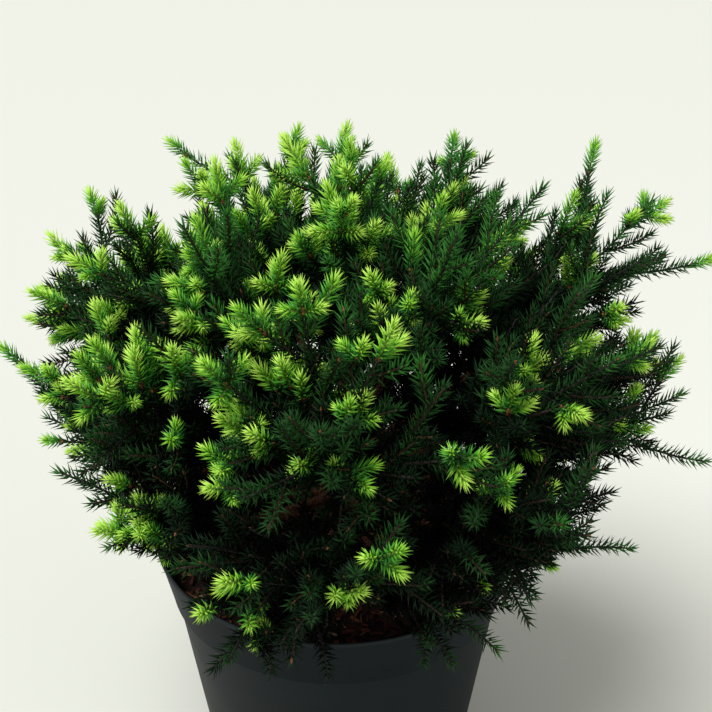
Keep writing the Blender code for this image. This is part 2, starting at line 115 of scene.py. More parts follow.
def polypropylene():
    """Moulded charcoal polypropylene: dull and slightly blue, with a fine grain, a little dust in it,
    a few pale scuffs, and a painted highlight that makes the top of the rim paler than the wall."""
    material, shader = shaded("moulded_polypropylene", "0b1519", 0.5, 1.49)
    shader.inputs["Specular IOR Level"].default_value = 0.06
    place = add_node(material, "ShaderNodeTexCoord").outputs["Object"]
    grain_size = 0.0009
    grain = add_node(
        material, "ShaderNodeTexNoise", {"Vector": place, "Scale": 1 / grain_size, "Detail": 3.0, "Roughness": 0.6}
    ).outputs["Fac"]
    cloud = add_node(
        material, "ShaderNodeTexNoise", {"Vector": place, "Scale": 1 / 0.035, "Detail": 5.0, "Roughness": 0.62}
    ).outputs["Fac"]
    plastic = graded(material, cloud, [(0.30, "081013"), (0.55, "0b1519"), (0.80, "0f1b20")])
    speck = add_node(
        material, "ShaderNodeTexVoronoi", {"Vector": place, "Scale": 1 / 0.009, "Randomness": 1.0}
    ).outputs["Distance"]
    scuff = graded(material, speck, [(0.0, "ffffff"), (0.035, "ffffff"), (0.06, "000000"), (1.0, "000000")])
    # Painted highlight: the top 1.6 mm of the rim is mixed towards a pale grey, a light line along its edge.
    height = add_node(material, "ShaderNodeSeparateXYZ", {"Vector": place}).outputs["Z"]
    rim_highlight_band = add_node(
        material,
        "ShaderNodeMapRange",
        {"Value": height, "From Min": POT_HEIGHT - 0.0016, "From Max": POT_HEIGHT - 0.0004},
    ).outputs["Result"]
    rim_highlighted = add_node(
        material, "ShaderNodeMix", {"Factor": rim_highlight_band, "A": plastic, "B": linear("353b3e")}, data_type="RGBA"
    )
    colour = add_node(
        material,
        "ShaderNodeMix",
        {"Factor": scuff, "A": rim_highlighted.outputs["Result"], "B": linear("2c3133")},
        data_type="RGBA",
    )
    dull = add_node(material, "ShaderNodeMapRange", {"Value": cloud, "To Min": 0.44, "To Max": 0.60})
    bump = add_node(material, "ShaderNodeBump", {"Height": grain, "Strength": 0.35, "Distance": 0.00012})
    links = material.node_tree.links
    links.new(colour.outputs["Result"], shader.inputs["Base Color"])
    links.new(dull.outputs["Result"], shader.inputs["Roughness"])
    links.new(bump.outputs["Normal"], shader.inputs["Normal"])
    return material


def lathed(profile, sides):
    """Rings of points turned round Z from (radius, height) pairs, and the quads between them."""
    angles = np.arange(sides) * math.tau / sides
    points = [(r * math.cos(a), r * math.sin(a), z) for r, z in profile for a in angles]
    faces = []
    for ring in range(len(profile) - 1):
        for k in range(sides):
            after = (k + 1) % sides
            low = ring * sides
            faces.append((low + k, low + sides + k, low + sides + after, low + after))
    return points, faces


def piece(name, mesh, materials, slot, *nodes):
    """Puts a finished mesh in the scene as a piece that rides on the root body."""
    made = bpy.data.objects.new(name, mesh)
    bpy.context.scene.collection.objects.link(made)
    for material in materials:
        mesh.materials.append(material)
    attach(made, "root")
    if nodes:
        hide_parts(*nodes)
    return made


def arc(centre, radius, start, end, count):
    angles = np.radians(np.linspace(start, end, count))
    return [(centre[0] + radius * math.cos(a), centre[1] + radius * math.sin(a)) for a in angles]


def pot_profile():
    """The pot's section, from the middle of its floor up the inside, over the rim and down outside."""
    foot = POT_HEIGHT - COLLAR_HEIGHT
    lip = RIM_LIP / 2
    inside = [
        (BASE_RADIUS - POT_WALL - 0.0006, POT_FLOOR),
        (BASE_RADIUS - POT_WALL + 0.0006, POT_FLOOR + 0.0012),
        (BODY_TOP_RADIUS - POT_WALL, foot + POT_WALL - 0.0006),
        (COLLAR_FOOT_RADIUS - POT_WALL, foot + POT_WALL),
        (RIM_RADIUS - POT_WALL - RIM_LIP * 0.3, POT_HEIGHT - RIM_LIP),
    ]
    rim = arc((RIM_RADIUS - lip, POT_HEIGHT - lip), lip, 170, -10, 9)
    slope = (RIM_RADIUS - COLLAR_FOOT_RADIUS) / COLLAR_HEIGHT
    band = [(RIM_RADIUS - slope * d - 0.0002, POT_HEIGHT - d) for d in (0.0026, 0.0034, 0.018, 0.034)]
    collar_foot = arc((COLLAR_FOOT_RADIUS - 0.0006, foot + 0.0007), 0.0007, 0, -90, 5)
    body = [
        (BODY_TOP_RADIUS + 0.0004, foot),
        (BODY_TOP_RADIUS, foot - 0.0005),
        (BASE_RADIUS + 0.0012, 0.0024),
        *arc((BASE_RADIUS - 0.0004, 0.0016), 0.0016, 0, -90, 5),
    ]
    return [(0.0, POT_FLOOR), *inside, *rim, *band, *collar_foot, *body, (0.0, 0.0)]


def pot_mesh():
    work = bmesh.new()
    points, faces = lathed(pot_profile(), 144)
    corners = [work.verts.new(point) for point in points]
    for face in faces:
        work.faces.new([corners[k] for k in face])
    bmesh.ops.remove_doubles(work, verts=work.verts, dist=0.00002)
    bmesh.ops.recalc_face_normals(work, faces=work.faces)
    mesh = bpy.data.meshes.new("pot_shell")
    work.to_mesh(mesh)
    work.free()
    return mesh


def drain_cutters():
    """Eight upright plugs in one mesh, where the floor is pierced."""
    work = bmesh.new()
    for k in range(DRAIN_HOLES):
        angle = math.tau * (k + 0.5) / DRAIN_HOLES
        plug = bmesh.ops.create_cone(
            work, cap_ends=True, segments=28, radius1=DRAIN_RADIUS, radius2=DRAIN_RADIUS, depth=0.02
        )
        place = Vector((DRAIN_CIRCLE * math.cos(angle), DRAIN_CIRCLE * math.sin(angle), POT_FLOOR / 2))
        bmesh.ops.translate(work, verts=plug["verts"], vec=place)
    mesh = bpy.data.meshes.new("drain_cutters")
    work.to_mesh(mesh)
    work.free()
    return mesh


def pierced(shell, cutters):
    """The shell's mesh with the cutters taken out of it."""
    scene = bpy.context.scene
    body = bpy.data.objects.new("shell", shell)
    tool = bpy.data.objects.new("cutters", cutters)
    scene.collection.objects.link(body)
    scene.collection.objects.link(tool)
    cut = body.modifiers.new("cut", "BOOLEAN")
    cut.operation = "DIFFERENCE"
    cut.solver = "EXACT"
    cut.object = tool
    bpy.context.view_layer.update()
    mesh = bpy.data.meshes.new_from_object(body.evaluated_get(bpy.context.evaluated_depsgraph_get()))
    bpy.data.objects.remove(body)
    bpy.data.objects.remove(tool)
    return mesh


pot_body = pierced(pot_mesh(), drain_cutters())
pot_body.shade_smooth()
pot_body.set_sharp_from_angle(angle=math.radians(35))
pot_body.name = "pot_wall"
piece("pot_wall", pot_body, [polypropylene()], "pot_plastic", "pot")

# Potting mix
# Peat and composted bark, filled to about 16 mm under the rim and topped with fine reddish bark chips.
# The chips are shredded, so they lie as flat splinters with a few pale ones and shed needles among them.
SOIL_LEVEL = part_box("trunk")[0].z - 0.0003
SOIL_FLAT = 0.018
SOIL_RELIEF = 0.0024
CHIPS = 2300
FALLEN_NEEDLES = 160
OLD_NEEDLE = 0.0088


def triangle_mesh(name, points, triangles, which=None):
    """A mesh from arrays of points and triangles, with each triangle's material number."""
    mesh = bpy.data.meshes.new(name)
    mesh.vertices.add(len(points))
    mesh.vertices.foreach_set("co", np.asarray(points, np.float32).ravel())
    mesh.loops.add(len(triangles) * 3)
    mesh.loops.foreach_set("vertex_index", np.asarray(triangles, np.int32).ravel())
    mesh.polygons.add(len(triangles))
    mesh.polygons.foreach_set("loop_start", np.arange(0, len(triangles) * 3, 3, dtype=np.int32))
    if which is not None:
        mesh.polygons.foreach_set("material_index", np.asarray(which, np.int32))
    mesh.update()
    mesh.validate()
    return mesh


def soil_height(x, y):
    """The top of the potting mix: gentle mounds, fine crumbs, and flat where the trunk stands."""
    radius = math.hypot(x, y)
    rise = min(1.0, max(0.0, (radius - SOIL_FLAT) / 0.012))
    mound = noise.noise(Vector((x, y, 0.3)) * 55.0)
    crumb = noise.noise(Vector((x, y, 1.7)) * 260.0)
    return SOIL_LEVEL + rise * SOIL_RELIEF * (0.8 * mound + 0.45 * crumb)


def composted_bark():
    """Damp composted bark and peat: almost black brown, fully dull and crumbly."""
    material, shader = shaded("composted_bark", "2a1a13", 0.95, 1.45)
    place = add_node(material, "ShaderNodeTexCoord").outputs["Object"]
    crumbs = add_node(
        material, "ShaderNodeTexNoise", {"Vector": place, "Scale": 1 / 0.003, "Detail": 6.0, "Roughness": 0.7}
    ).outputs["Fac"]
    colour = graded(material, crumbs, [(0.35, "170e0a"), (0.55, "2f1d14"), (0.75, "4a3020")])
    bump = add_node(material, "ShaderNodeBump", {"Height": crumbs, "Strength": 0.8, "Distance": 0.0012})
    material.node_tree.links.new(colour, shader.inputs["Base Color"])
    material.node_tree.links.new(bump.outputs["Normal"], shader.inputs["Normal"])
    return material


def soil_mesh():
    """The filling: an uneven top, and sides and bottom just inside the pot's wall."""
    shift = POT_WALL + 0.0003
    foot = POT_HEIGHT - COLLAR_HEIGHT + shift
    upper = (RIM_RADIUS - shift - RIM_LIP * 0.3, POT_HEIGHT - RIM_LIP)
    share = (SOIL_LEVEL - foot) / (upper[1] - foot)
    edge = COLLAR_FOOT_RADIUS - shift + share * (upper[0] - COLLAR_FOOT_RADIUS + shift)
    rings = list(np.linspace(0.0, edge - 0.001, 44))
    profile = [(r, SOIL_LEVEL) for r in rings]
    profile += [
        (edge - 0.0012, SOIL_LEVEL - 0.004),
        (COLLAR_FOOT_RADIUS - shift - 0.0002, foot + 0.001),
        (BODY_TOP_RADIUS - shift - 0.0002, foot),
        (BASE_RADIUS - shift, POT_FLOOR + 0.0004),
        (0.0, POT_FLOOR + 0.0004),
    ]
    points, faces = lathed(profile, 120)
    count = len(rings) * 120
    points = [(x, y, soil_height(x, y)) if k < count else (x, y, z) for k, (x, y, z) in enumerate(points)]
    work = bmesh.new()
    corners = [work.verts.new(point) for point in points]
    for face in faces:
        work.faces.new([corners[k] for k in face])
    bmesh.ops.remove_doubles(work, verts=work.verts, dist=0.00002)
    bmesh.ops.recalc_face_normals(work, faces=work.faces)
    mesh = bpy.data.meshes.new("potting_mix")
    work.to_mesh(mesh)
    work.free()
    mesh.shade_smooth()
    return mesh, edge


def turned_axes(chance, count, tilt):
    """Random right-handed axes whose third one leans from upright by up to the tilt."""
    yaw = chance.uniform(0.0, math.tau, count)
    lean = chance.uniform(-tilt, tilt, (count, 2))
    up = np.stack([lean[:, 0], lean[:, 1], np.ones(count)], axis=1)
    up /= np.linalg.norm(up, axis=1)[:, None]
    ahead = np.stack([np.cos(yaw), np.sin(yaw), np.zeros(count)], axis=1)
    ahead -= up * (ahead * up).sum(axis=1)[:, None]
    ahead /= np.linalg.norm(ahead, axis=1)[:, None]
    return ahead, np.cross(up, ahead), up


BLOCK_CORNERS = np.array([(x, y, z) for z in (-1, 1) for y in (-1, 1) for x in (-1, 1)], float)
BLOCK_FACES = np.array(
    [(0, 2, 1), (1, 2, 3), (4, 5, 6), (5, 7, 6), (0, 1, 4), (1, 5, 4)]
    + [(2, 6, 3), (3, 6, 7), (0, 4, 2), (2, 4, 6), (1, 3, 5), (3, 7, 5)]
)


def bark_chips(edge):
    """Splinters of bark: knocked-about blocks with pinched ends, lying on the mix."""
    chance = np.random.default_rng(7)
    radius = (edge - 0.006) * np.sqrt(chance.uniform(0.02, 1.0, CHIPS))
    angle = chance.uniform(0.0, math.tau, CHIPS)
    ground = np.stack([radius * np.cos(angle), radius * np.sin(angle)], axis=1)
    keep = radius > 0.016
    ground = ground[keep]
    count = len(ground)
    length = chance.gamma(3.0, 0.0021, count).clip(0.002, 0.016)
    width = length * chance.uniform(0.22, 0.6, count)
    thick = chance.uniform(0.0006, 0.0016, count)
    length[:FALLEN_NEEDLES] = OLD_NEEDLE * chance.uniform(0.85, 1.05, FALLEN_NEEDLES)
    width[:FALLEN_NEEDLES] = 0.0010
    thick[:FALLEN_NEEDLES] = 0.0007
    sizes = np.stack([length, width, thick], axis=1) / 2
    corners = BLOCK_CORNERS[None] * chance.uniform(0.55, 1.1, (count, 8, 3))
    corners[..., 1] *= 1.0 - 0.45 * np.abs(corners[..., 0])
    corners = corners * sizes[:, None]
    ahead, side, up = turned_axes(chance, count, 0.45)
    height = np.array([soil_height(x, y) for x, y in ground]) + thick * 0.4 + chance.uniform(0, 0.0022, count)
    middle = np.concatenate([ground, height[:, None]], axis=1)
    points = corners[..., :1] * ahead[:, None] + corners[..., 1:2] * side[:, None] + corners[..., 2:] * up[:, None]
    points = points + middle[:, None]
    faces = BLOCK_FACES[None] + 8 * np.arange(count)[:, None, None]
    which = chance.choice(6, count, p=(0.26, 0.27, 0.22, 0.14, 0.08, 0.03))
    which[:FALLEN_NEEDLES] = chance.choice((0, 4, 5), FALLEN_NEEDLES)
    return triangle_mesh("bark_chips", points.reshape(-1, 3), faces.reshape(-1, 3), which.repeat(12))


def chip_finishes():
    """Bark and splinter colours, from wet dark bark to pale fresh wood, all dull."""
    codes = ("452217", "5f2f20", "7a402a", "2c160f", "9a6845", "c7a176")
    return [shaded(f"bark_chip_{k + 1}", code, 0.9, 1.45)[0] for k, code in enumerate(codes)]


soil_body, soil_edge = soil_mesh()
piece("potting_mix", soil_body, [composted_bark()], "bark_mulch", "soil")
piece("bark_chips", bark_chips(soil_edge), chip_finishes(), "bark_mulch", "soil")

# Trunk
# One short main stem, about 20 mm thick, that leans a little and flares where it meets the mix. Its bark
# is thin, grey brown and scaly, flaking in small plates with warmer orange brown between them.
GAP = 0.0003
TRUNK_TOP = 0.298
TRUNK_FOOT_RADIUS = 0.0090
TRUNK_TIP_RADIUS = 0.0030
ROOT_FLARE = 0.0055
ROOT_FLARE_HEIGHT = 0.007
TRUNK_LEAN = (0.006, -0.005)
TRUNK_BEND = 0.003
BARK_PLATE = 0.0045


def trunk_at(height):
    """The trunk's middle and radius at a height above the pot's underside."""
    foot = SOIL_LEVEL + GAP
    share = (height - foot) / (TRUNK_TOP - foot)
    sway = TRUNK_BEND * math.sin(math.pi * share)
    middle = np.array((TRUNK_LEAN[0] * share - sway, TRUNK_LEAN[1] * share + 0.5 * sway, height))
    radius = TRUNK_FOOT_RADIUS + (TRUNK_TIP_RADIUS - TRUNK_FOOT_RADIUS) * share
    return middle, radius + ROOT_FLARE * math.exp(-(height - foot) / ROOT_FLARE_HEIGHT)


def trunk_line():
    """The trunk's middles and radii from its foot to its tip, closer together in the root flare."""
    foot = SOIL_LEVEL + GAP
    heights = [foot, foot + 0.003, foot + 0.007, foot + 0.013]
    heights += [foot + 0.022 + (TRUNK_TOP - foot - 0.022) * k / 7 for k in range(8)]
    return zip(*(trunk_at(height) for height in heights))


def scaly_bark(name, codes, plate):
    """Thin scaly bark: plates of the given size with warm cracks between them and a dull, dry face."""
    material, shader = shaded(name, codes[1], 0.85, 1.45)
    place = add_node(material, "ShaderNodeTexCoord").outputs["Object"]
    warp = add_node(material, "ShaderNodeTexNoise", {"Vector": place, "Scale": 1 / plate, "Detail": 4.0})
    cells = add_node(
        material, "ShaderNodeTexVoronoi", {"Vector": place, "Scale": 1 / plate}, feature="DISTANCE_TO_EDGE"
    ).outputs["Distance"]
    mixed = add_node(
        material, "ShaderNodeMath", {0: cells, 1: warp.outputs["Fac"]}, operation="MULTIPLY"
    ).outputs["Value"]
    colour = graded(material, mixed, [(0.0, codes[0]), (0.10, codes[1]), (0.32, codes[2])])
    bump = add_node(material, "ShaderNodeBump", {"Height": mixed, "Strength": 0.7, "Distance": plate * 0.12})
    material.node_tree.links.new(colour, shader.inputs["Base Color"])
    material.node_tree.links.new(bump.outputs["Normal"], shader.inputs["Normal"])
    return material


def frames_along(lines):
    """Side and up directions across each of many lines of points, shaped (lines, points, 3)."""
    ahead = np.gradient(lines, axis=1)
    ahead /= np.linalg.norm(ahead, axis=2)[..., None]
    rough = np.where(np.abs(ahead[..., 2:]) < 0.9, (0.0, 0.0, 1.0), (1.0, 0.0, 0.0))
    side = np.cross(ahead, np.broadcast_to(rough[:, :1], ahead.shape))
    side /= np.linalg.norm(side, axis=2)[..., None]
    return ahead, side, np.cross(ahead, side)


def tubes(lines, radii, sides):
    """Closed round limbs along many lines at once; returns their points and triangles."""
    count, length = lines.shape[:2]
    _, side, up = frames_along(lines)
    angles = np.arange(sides) * math.tau / sides
    spokes = side[:, :, None] * np.cos(angles)[None, None, :, None] + up[:, :, None] * np.sin(angles)[None, None, :, None]
    radii = radii if radii.ndim == 3 else radii[:, :, None]
    rings = (lines[:, :, None] + spokes * radii[..., None]).reshape(count, -1, 3)
    points = np.concatenate([rings, lines[:, :1], lines[:, -1:]], axis=1)
    faces = []
    for k in range(sides):
        after = (k + 1) % sides
        for ring in range(length - 1):
            a, b = ring * sides + k, ring * sides + after
            faces += [(a, b, b + sides), (a, b + sides, a + sides)]
        last = (length - 1) * sides
        faces += [(length * sides, after, k), (length * sides + 1, last + k, last + after)]
    faces = np.array(faces)[None] + points.shape[1] * np.arange(count)[:, None, None]
    return points.reshape(-1, 3), faces.reshape(-1, 3), len(faces[0])


def resampled(line, count):
    """A line of points read again at even spacing."""
    line = np.asarray(line, float)
    along = np.concatenate(([0.0], np.cumsum(np.linalg.norm(np.diff(line, axis=0), axis=1))))
    at = np.linspace(0.0, along[-1], count)
    return np.stack([np.interp(at, along, line[:, axis]) for axis in range(3)], axis=1)


def barky_tube(line, radii, sides, relief, plate):
    """One limb whose surface is lifted into plates and hollows of the bark's own size."""
    count = len(line)
    _, side, up = frames_along(line[None])
    lumps = np.zeros((1, count, sides))
    for i in range(count):
        for k in range(sides):
            angle = math.tau * k / sides
            spot = line[i] + (side[0, i] * math.cos(angle) + up[0, i] * math.sin(angle)) * radii[i]
            lumps[0, i, k] = noise.noise(Vector(spot) / plate) + 0.5 * noise.noise(Vector(spot) / plate * 2.3)
    thick = radii[None, :, None] + relief * lumps
    return tubes(line[None], thick, sides)[:2]


def trunk_mesh():
    points, radii = trunk_line()
    count = 90
    line = resampled(points, count)
    known = np.array(points)[:, 2]
    thick = np.interp(line[:, 2], known, radii)
    vertices, faces = barky_tube(line, thick, 30, 0.00045, BARK_PLATE)
    vertices[:, 2] = np.maximum(vertices[:, 2], SOIL_LEVEL + GAP)
    mesh = triangle_mesh("trunk_bark", vertices, faces)
    mesh.shade_smooth()
    return mesh


trunk_bark = scaly_bark("scaly_trunk_bark", ("2b1a12", "5b4334", "82705f"), BARK_PLATE)
piece("trunk_bark", trunk_mesh(), [trunk_bark], "trunk_bark", "trunk")

# Boughs
# Four tiers of side limbs, 6 mm thick at the trunk and under 4 mm where their foliage starts. Their thin
# orange brown bark is rough with the pegs that old needles leave, and each swells a little at the trunk.
HEART = np.array((0.0, 0.0, 0.215))
OUTLINE = (
    (-25, 0.138),
    (-12, 0.150),
    (0, 0.180),
    (15, 0.214),
    (30, 0.240),
    (45, 0.242),
    (62, 0.226),
    (90, 0.224),
)
SWELLINGS = ((17, 30, 24, 0.030), (183, 2, 26, -0.022), (-146, 12, 30, -0.038), (-32, 12, 25, -0.026))
TIERS = (
    ("skirt", 8, 22.0, -7.0, 0.190, 18.0),
    ("lower", 8, 0.0, 17.0, 0.207, -10.0),
    ("middle", 7, 14.0, 39.0, 0.232, -10.0),
    ("upper", 4, 40.0, 63.0, 0.262, -8.0),
)
TIER_JITTER = 3.0
BOUGH_SHARE = 0.44
BOUGH_FOOT_RADIUS = 0.0032
BOUGH_TIP_RADIUS = 0.0018
FAR_SHOOTS = (
    (169, 19, 0.228),
    (176, 7, 0.186),
    (-172, -14, 0.150),
    (163, 29, 0.222),
    (151, 42, 0.240),
    (137, 53, 0.238),
    (103, 61, 0.224),
    (84, 60, 0.226),
    (54, 57, 0.230),
    (31, 45, 0.268),
    (20, 36, 0.270),
    (15, 27, 0.276),
    (10, 17, 0.230),
    (1, 3, 0.232),
    (-8, -10, 0.188),
    (-38, -15, 0.146),
    (-52, -13, 0.150),
    (-70, -10, 0.144),
    (-89, -11, 0.143),
    (-116, -12, 0.150),
)
SHOOT_COUNT = 132
LOWEST_SHOOT = -15.0
SHOOT_APART = 11.0
FINER_COUNT = 1300
FINER_APART = 5.0
INNER_COUNT = 420
INNER_APART = 8.0
GOLDEN_ANGLE = 137.508
TAKEN_BY_STEM = 8.0
LEAVING_ANGLE = 44.0
TIP_FROM_WALL = 0.006
BEND_FROM_WALL = 0.004
CELL_MARGIN = 0.0002
LIMB_MARGIN = 0.0006
RIM_MARGIN = 0.0025
TWIG_RADIUS = 0.0014


def heading(azimuth, elevation):
    a = math.radians(azimuth)
    e = math.radians(elevation)
    return np.array((math.cos(a) * math.cos(e), math.sin(a) * math.cos(e), math.sin(e)))


def unit(vector):
    return vector / np.linalg.norm(vector)


def degrees_between(a, b):
    return math.degrees(math.acos(max(-1.0, min(1.0, float(np.dot(a, b))))))


def reach(direction):
    """How far the crown reaches from its heart in a direction."""
    elevation = math.degrees(math.asin(max(-1.0, min(1.0, direction[2]))))
    distance = float(np.interp(elevation, *zip(*OUTLINE)))
    for azimuth, height, spread, gain in SWELLINGS:
        away = degrees_between(direction, heading(azimuth, height))
        distance += gain * math.exp(-((away / spread) ** 2))
    return distance


def bezier(start, control, end, count=49):
    t = np.linspace(0.0, 1.0, count)[:, None]
    return (1 - t) ** 2 * start + 2 * t * (1 - t) * control + t**2 * end


def lengths_along(line):
    return np.concatenate(([0.0], np.cumsum(np.linalg.norm(np.diff(line, axis=0), axis=1))))


def cut_line(line, start, end, count):
    """Evenly spaced points of a line between two distances along it."""
    along = lengths_along(line)
    at = np.linspace(start, end, count)
    return np.stack([np.interp(at, along, line[:, axis]) for axis in range(3)], axis=1)


class Mass:
    """One mass of foliage: its direction from the heart, its bough and its stem."""

    def __init__(self, tier, number, direction, height, turn_up):
        self.tier = tier
        self.number = number
        self.direction = direction
        self.height = height
        self.turn_up = turn_up
        part = "upper" if tier == "leader" else tier
        self.group = f"{part}_{'front' if direction[1] < 0 else 'back'}"
        self.tip = HEART + direction * reach(direction) * 0.97
        self.tips = []
        self.bough = None
        self.stem = None

    def lay_limbs(self):
        """Runs one curve from the trunk to the tip: its first part is the bough and the rest the stem."""
        middle, radius = trunk_at(min(self.height, TRUNK_TOP))
        if self.tier == "leader":
            start = middle + np.array((0.0, 0.0, GAP))
            self.stem = bezier(start, (start + self.tip) / 2 + np.array((0.004, 0.002, 0.0)), self.tip)
            return
        flat = unit(self.direction * (1, 1, 0))
        way = self.tip - middle
        pitch = math.atan2(way[2], float(np.dot(way, flat))) + math.radians(self.turn_up)
        leave = flat * math.cos(pitch) + np.array((0.0, 0.0, math.sin(pitch)))
        start = middle + flat * (radius + GAP + BOUGH_FOOT_RADIUS * abs(math.sin(pitch)))
        line = bezier(start, start + leave * np.linalg.norm(way) * 0.45, self.tip)
        total = lengths_along(line)[-1]
        self.bough = cut_line(line, 0.0, total * BOUGH_SHARE, 5)
        self.stem = cut_line(line, total * BOUGH_SHARE + GAP, total, 33)


def plan_masses():
    """Places the masses tier by tier round the trunk, with the leader's mass on top."""
    chance = random.Random(41)
    masses = []
    for tier, count, first, elevation, height, turn_up in TIERS:
        for k in range(count):
            azimuth = first + 360.0 * k / count + chance.uniform(-TIER_JITTER, TIER_JITTER)
            direction = heading(azimuth, elevation + chance.uniform(-1.5, 1.5))
            masses.append(Mass(tier, k + 1, direction, height, turn_up))
    masses.append(Mass("leader", 1, heading(20.0, 87.5), TRUNK_TOP, 0.0))
    for azimuth, elevation, distance in FAR_SHOOTS:
        direction = heading(azimuth, elevation)
        owner = max(masses, key=lambda mass: float(np.dot(mass.direction, direction)))
        if degrees_between(owner.direction, direction) < TAKEN_BY_STEM and not owner.tips:
            owner.tip = HEART + direction * distance
        else:
            owner.tips.append(HEART + direction * distance)
    for mass in masses:
        mass.lay_limbs()
    deal_tips(masses, chance, SHOOT_COUNT, SHOOT_APART, (0.90, 1.0), (0.90, 1.0))
    deal_tips(masses, chance, FINER_COUNT, FINER_APART, (0.74, 0.92), (0.68, 0.84))
    deal_tips(masses, chance, INNER_COUNT, INNER_APART, (0.50, 0.68), (0.42, 0.58), afresh=True)
    return masses


def deal_tips(masses, chance, count, apart, at_side, on_top, afresh=False):
    """Spreads the shoots' tips evenly over the crown and gives each to the mass whose cell holds it. Each
    ends at a share of the crown's reach, between two limits that change from the side to the top."""
    taken = [unit(tip - HEART) for mass in masses for tip in [mass.tip, *mass.tips] if not afresh]
    lowest = math.sin(math.radians(LOWEST_SHOOT))
    for k in range(count):
        height = 1.0 - (k + 0.5) * (1.0 - lowest) / count
        azimuth = GOLDEN_ANGLE * k + chance.uniform(-4.0, 4.0)
        direction = heading(azimuth, math.degrees(math.asin(height)))
        if min((degrees_between(direction, other) for other in taken), default=180.0) < apart:
            continue
        owner = max(masses, key=lambda mass: float(np.dot(mass.direction, direction)))
        least, most = (side + (top - side) * max(0.0, height) for side, top in zip(at_side, on_top))
        owner.tips.append(HEART + direction * reach(direction) * chance.uniform(least, most))
        taken.append(direction)


masses = plan_masses()
bough_bark = scaly_bark("peggy_bough_bark", ("3a2115", "6f4730", "96704f"), 0.0022)
bough_points, bough_faces, bough_names = [], [], []
for mass in masses:
    if mass.bough is None:
        continue
    middle = trunk_at(mass.height)[0]
    rooted = np.concatenate([[mass.bough[0] + (middle - mass.bough[0]) * 0.6], mass.bough])
    limb = resampled(rooted, 40)
    share = np.linspace(0.0, 1.0, 40)
    thick = BOUGH_FOOT_RADIUS + (BOUGH_TIP_RADIUS - BOUGH_FOOT_RADIUS) * share
    thick = thick * (1 + 0.35 * np.exp(-share / 0.06))
    points, faces = barky_tube(limb, thick, 12, 0.00028, 0.0022)
    bough_faces.append(faces + sum(len(p) for p in bough_points))
    bough_points.append(points)
    bough_names.append(f"bough_{mass.tier}_{mass.number}")
bough_mesh = triangle_mesh("bough_bark", np.concatenate(bough_points), np.concatenate(bough_faces))
bough_mesh.shade_smooth()
piece("bough_bark", bough_mesh, [bough_bark], "bough_bark", *bough_names)

# Twigs
# Each bough runs on as a stem with shoots, and these bear side twigs and twiglets, closer and shorter
# towards the tip, all from the same growing rule. Young bark is bare orange brown between the needles.
NODE_SPACING = 0.021
SIDE_SHARE = 0.60
SIDE_LEAST = 0.016
SIDE_MOST = 0.052
SIDE_ANGLE = 45.0
TWIGLET_FROM = 0.038
INTERLACING = 0.014
UNDERSIDE_RISE = 0.72
UNDERSIDE_LEAST = 0.008
PARTED = ((-0.122, -0.046), (0.002, 0.046))
PARTED_SLOPE = 0.92
PARTED_INSIDE = 0.028


class Space:
    """Where a mass may grow: inside its own cell, off the pot and clear of every limb."""

    def __init__(self, mass):
        walls = [mass.direction - other.direction for other in masses if other is not mass]
        self.walls = np.array([unit(wall) for wall in walls])
        points, radii = trunk_line()
        limbs = [(np.array(points), np.array(radii))]
        limbs += [
            (other.bough, np.full(len(other.bough), BOUGH_FOOT_RADIUS)) for other in masses if other.bough is not None
        ]
        self.starts = np.concatenate([line[:-1] for line, _ in limbs])
        self.spans = np.concatenate([line[1:] for line, _ in limbs]) - self.starts
        self.widths = np.concatenate([thick[:-1] for _, thick in limbs])

    def inside_cell(self, points, thick):
        return float(((points - HEART) @ self.walls.T).min()) >= thick + CELL_MARGIN

    def moved_in(self, point, margin):
        """The point, moved away from any wall that is nearer than the margin."""
        for _ in range(4):
            for wall in self.walls:
                point = point + wall * max(0.0, margin - float(np.dot(wall, point - HEART)))
        return point

    def off_pot(self, points, thick):
        radius = np.hypot(points[:, 0], points[:, 1])
        low = points[:, 2] < POT_HEIGHT + RIM_MARGIN + thick
        return not bool((low & (radius < RIM_RADIUS + RIM_MARGIN + thick)).any())

    def off_limbs(self, points, thick):
        away = points[:, None, :] - self.starts[None]
        share = (away * self.spans).sum(-1) / (self.spans**2).sum(-1)
        nearest = away - np.clip(share, 0.0, 1.0)[..., None] * self.spans
        room = np.linalg.norm(nearest, axis=-1) - self.widths
        return float(room.min()) >= thick + LIMB_MARGIN

    def holds(self, points, thick, past=0.0):
        """Whether points lie free, with fine twigs let a little way past the cell's walls."""
        free = self.inside_cell(points, thick - past) and self.off_pot(points, thick)
        return free and self.off_limbs(points, thick)


def underside(point):
    """Height of the crown's underside at a point. In front it rises outwards from the pot's rim, more
    steeply in two places where the rim and the bark lie open, and at the back it hangs free."""
    if point[1] > 0.035:
        return 0.0
    radius = math.hypot(point[0], point[1])
    rise = UNDERSIDE_RISE * (radius - RIM_RADIUS)
    if any(low < point[0] < high for low, high in PARTED):
        rise = PARTED_SLOPE * (radius - RIM_RADIUS + PARTED_INSIDE)
    return POT_HEIGHT + max(rise, UNDERSIDE_LEAST)


def under_crown(point):
    return point[2] < underside(point)


